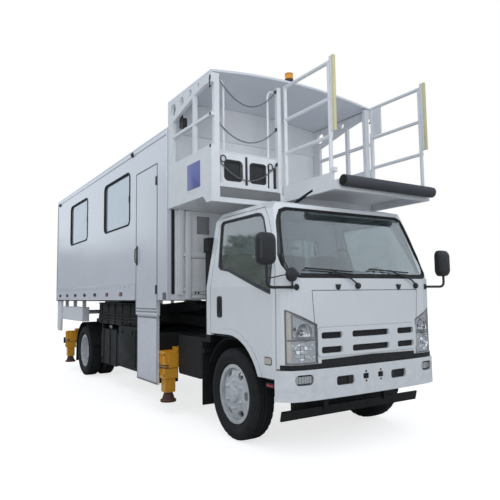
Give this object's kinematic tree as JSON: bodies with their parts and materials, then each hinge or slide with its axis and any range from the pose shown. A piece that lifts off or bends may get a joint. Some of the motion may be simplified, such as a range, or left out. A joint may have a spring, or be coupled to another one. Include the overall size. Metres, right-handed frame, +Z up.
{
  "type": "airport ambulift",
  "caption": "High-lift airport vehicle for passengers with reduced mobility: cab-over truck, scissor-raised cabin, canopy and sliding gangway over the cab.",
  "frame": {"origin": "on the ground under the middle of the vehicle's outline", "axes": "+X towards the front of the truck, +Y to its left, +Z up"},
  "size_m": [8.024, 2.496, 3.975],
  "materials": {
    "white_paint": "gloss",
    "box_panel": "gloss",
    "black_steel": "satin",
    "grey_steel": "satin",
    "iron": "rough",
    "silver_rim": "satin",
    "amber_paint": "satin",
    "black_plastic": "matte",
    "grey_plastic": "matte",
    "seat_cloth": "matte",
    "glass": "clear",
    "lamp_glass": "clear",
    "amber_lens": "clear",
    "tyre": "matte",
    "rubber": "matte",
    "deck": "satin",
    "yellow_guard": "matte",
    "chain_steel": "satin"
  },
  "bodies": {
    "chassis": {"chassis_frame": "black_steel", "subframe": "black_steel", "axles": "black_steel", "leaf_springs": "black_steel", "drivetrain": "iron", "chassis_boxes": "black_plastic", "mudguards": "black_plastic", "leg_housings": "amber_paint", "side_steps": "deck", "front_bumper": "white_paint", "cab_floor": "grey_steel", "cab_front_panel": "white_paint", "cab_roof": "white_paint", "cab_rear_wall": "white_paint", "cab_glass": "glass", "headlamps": "lamp_glass", "grille": "white_paint", "mirrors": "black_plastic", "cab_seats": "seat_cloth", "dashboard": "grey_plastic"},
    "cab_door_left": {"cab_door_left": "white_paint", "cab_door_glass_left": "glass"},
    "cab_door_right": {"cab_door_right": "white_paint", "cab_door_glass_right": "glass"},
    "steer_left": {"knuckle_left": "iron"},
    "steer_right": {"knuckle_right": "iron"},
    "wheel_front_left": {"rim_front_left": "silver_rim", "tyre_front_left": "tyre"},
    "wheel_front_right": {"rim_front_right": "silver_rim", "tyre_front_right": "tyre"},
    "wheels_rear_left": {"rims_rear_left": "silver_rim", "tyres_rear_left": "tyre"},
    "wheels_rear_right": {"rims_rear_right": "silver_rim", "tyres_rear_right": "tyre"},
    "arms_outer": {"scissor_arms_outer": "grey_steel"},
    "arms_inner": {"scissor_arms_inner": "grey_steel"},
    "lift_barrels": {"lift_barrels": "grey_steel"},
    "lift_rods": {"lift_rods": "chain_steel"},
    "leg_front_left": {"leg_front_left": "amber_paint"},
    "leg_front_right": {"leg_front_right": "amber_paint"},
    "leg_rear_left": {"leg_rear_left": "amber_paint"},
    "leg_rear_right": {"leg_rear_right": "amber_paint"},
    "box": {"box_floor": "deck", "box_side_left": "box_panel", "box_side_right": "box_panel", "box_end_walls": "box_panel", "box_roof": "box_panel", "box_windows": "glass", "tail_lift": "white_paint", "canopy_frame": "white_paint", "canopy_roof": "box_panel", "chains": "chain_steel", "beacon": "amber_lens"},
    "side_door": {"side_door": "box_panel"},
    "rear_door_left": {"rear_door_left": "box_panel"},
    "rear_door_right": {"rear_door_right": "box_panel"},
    "gangway": {"gangway_frame": "white_paint", "gangway_guards": "yellow_guard", "gangway_roll": "rubber"}
  },
  "joints": [
    {"name": "steering_left", "type": "hinge", "parent": "chassis", "child": "steer_left", "pos_m": [3.03, 0.69, 0.448], "axis": [0, 0, 1], "range_deg": [-33, 33]},
    {"name": "steering_right", "type": "hinge", "parent": "chassis", "child": "steer_right", "pos_m": [3.03, -0.69, 0.448], "axis": [0, 0, 1], "range_deg": [-33, 33]},
    {"name": "spin_front_left", "type": "hinge", "parent": "steer_left", "child": "wheel_front_left", "pos_m": [3.03, 0.85, 0.448], "axis": [0, 1, 0], "continuous": true},
    {"name": "spin_front_right", "type": "hinge", "parent": "steer_right", "child": "wheel_front_right", "pos_m": [3.03, -0.85, 0.448], "axis": [0, 1, 0], "continuous": true},
    {"name": "spin_rear_left", "type": "hinge", "parent": "chassis", "child": "wheels_rear_left", "pos_m": [-2.29, 0.765, 0.448], "axis": [0, 1, 0], "continuous": true},
    {"name": "spin_rear_right", "type": "hinge", "parent": "chassis", "child": "wheels_rear_right", "pos_m": [-2.29, -0.765, 0.448], "axis": [0, 1, 0], "continuous": true},
    {"name": "cab_door_left_swing", "type": "hinge", "parent": "chassis", "child": "cab_door_left", "pos_m": [3.83, 0.982, 1.4], "axis": [0, 0, -1], "range_deg": [0, 70]},
    {"name": "cab_door_right_swing", "type": "hinge", "parent": "chassis", "child": "cab_door_right", "pos_m": [3.83, -0.982, 1.4], "axis": [0, 0, 1], "range_deg": [0, 70]},
    {"name": "lift", "type": "hinge", "parent": "chassis", "child": "arms_outer", "pos_m": [-3.27, 0, 1.065], "axis": [0, -1, 0], "range_deg": [0, 50]},
    {"name": "lift_cross", "type": "hinge", "parent": "arms_outer", "child": "arms_inner", "pos_m": [-1.07301, 0, 1.18], "axis": [0, -1, 0], "range_deg": [-100, 0]},
    {"name": "lift_level", "type": "hinge", "parent": "arms_inner", "child": "box", "pos_m": [-3.27, 0, 1.295], "axis": [0, -1, 0], "range_deg": [0, 50]},
    {"name": "cylinder_swing", "type": "hinge", "parent": "chassis", "child": "lift_barrels", "pos_m": [-1.97, 0, 0.965], "axis": [0, -1, 0], "range_deg": [0, 72.2]},
    {"name": "cylinder_stroke", "type": "slide", "parent": "lift_barrels", "child": "lift_rods", "axis": [0.989, 0, 0.1481], "range_m": [0, 0.254]},
    {"name": "leg_front_left_drop", "type": "slide", "parent": "chassis", "child": "leg_front_left", "axis": [0, 0, -1], "range_m": [0, 0.145]},
    {"name": "leg_front_right_drop", "type": "slide", "parent": "chassis", "child": "leg_front_right", "axis": [0, 0, -1], "range_m": [0, 0.145]},
    {"name": "leg_rear_left_drop", "type": "slide", "parent": "chassis", "child": "leg_rear_left", "axis": [0, 0, -1], "range_m": [0, 0.145]},
    {"name": "leg_rear_right_drop", "type": "slide", "parent": "chassis", "child": "leg_rear_right", "axis": [0, 0, -1], "range_m": [0, 0.145]},
    {"name": "side_door_swing", "type": "hinge", "parent": "box", "child": "side_door", "pos_m": [1.55, -1.15, 2.1], "axis": [0, 0, 1], "range_deg": [0, 100]},
    {"name": "rear_door_left_swing", "type": "hinge", "parent": "box", "child": "rear_door_left", "pos_m": [-4.01, 1.09, 2.4], "axis": [0, 0, -1], "range_deg": [0, 100]},
    {"name": "rear_door_right_swing", "type": "hinge", "parent": "box", "child": "rear_door_right", "pos_m": [-4.01, -1.09, 2.4], "axis": [0, 0, 1], "range_deg": [0, 100]},
    {"name": "gangway_slide", "type": "slide", "parent": "box", "child": "gangway", "axis": [1, 0, 0], "range_m": [0, 0.6]}
  ],
  "couplings": [
    {"joint": "steering_right", "follows": "steering_left", "ratio": 1},
    {"joint": "lift_cross", "follows": "lift", "ratio": -2},
    {"joint": "lift_level", "follows": "lift", "ratio": 1},
    {"joint": "cylinder_swing", "follows": "lift", "ratio": 1.4342},
    {"joint": "cylinder_stroke", "follows": "lift", "m_per_rad": 0.2856}
  ]
}
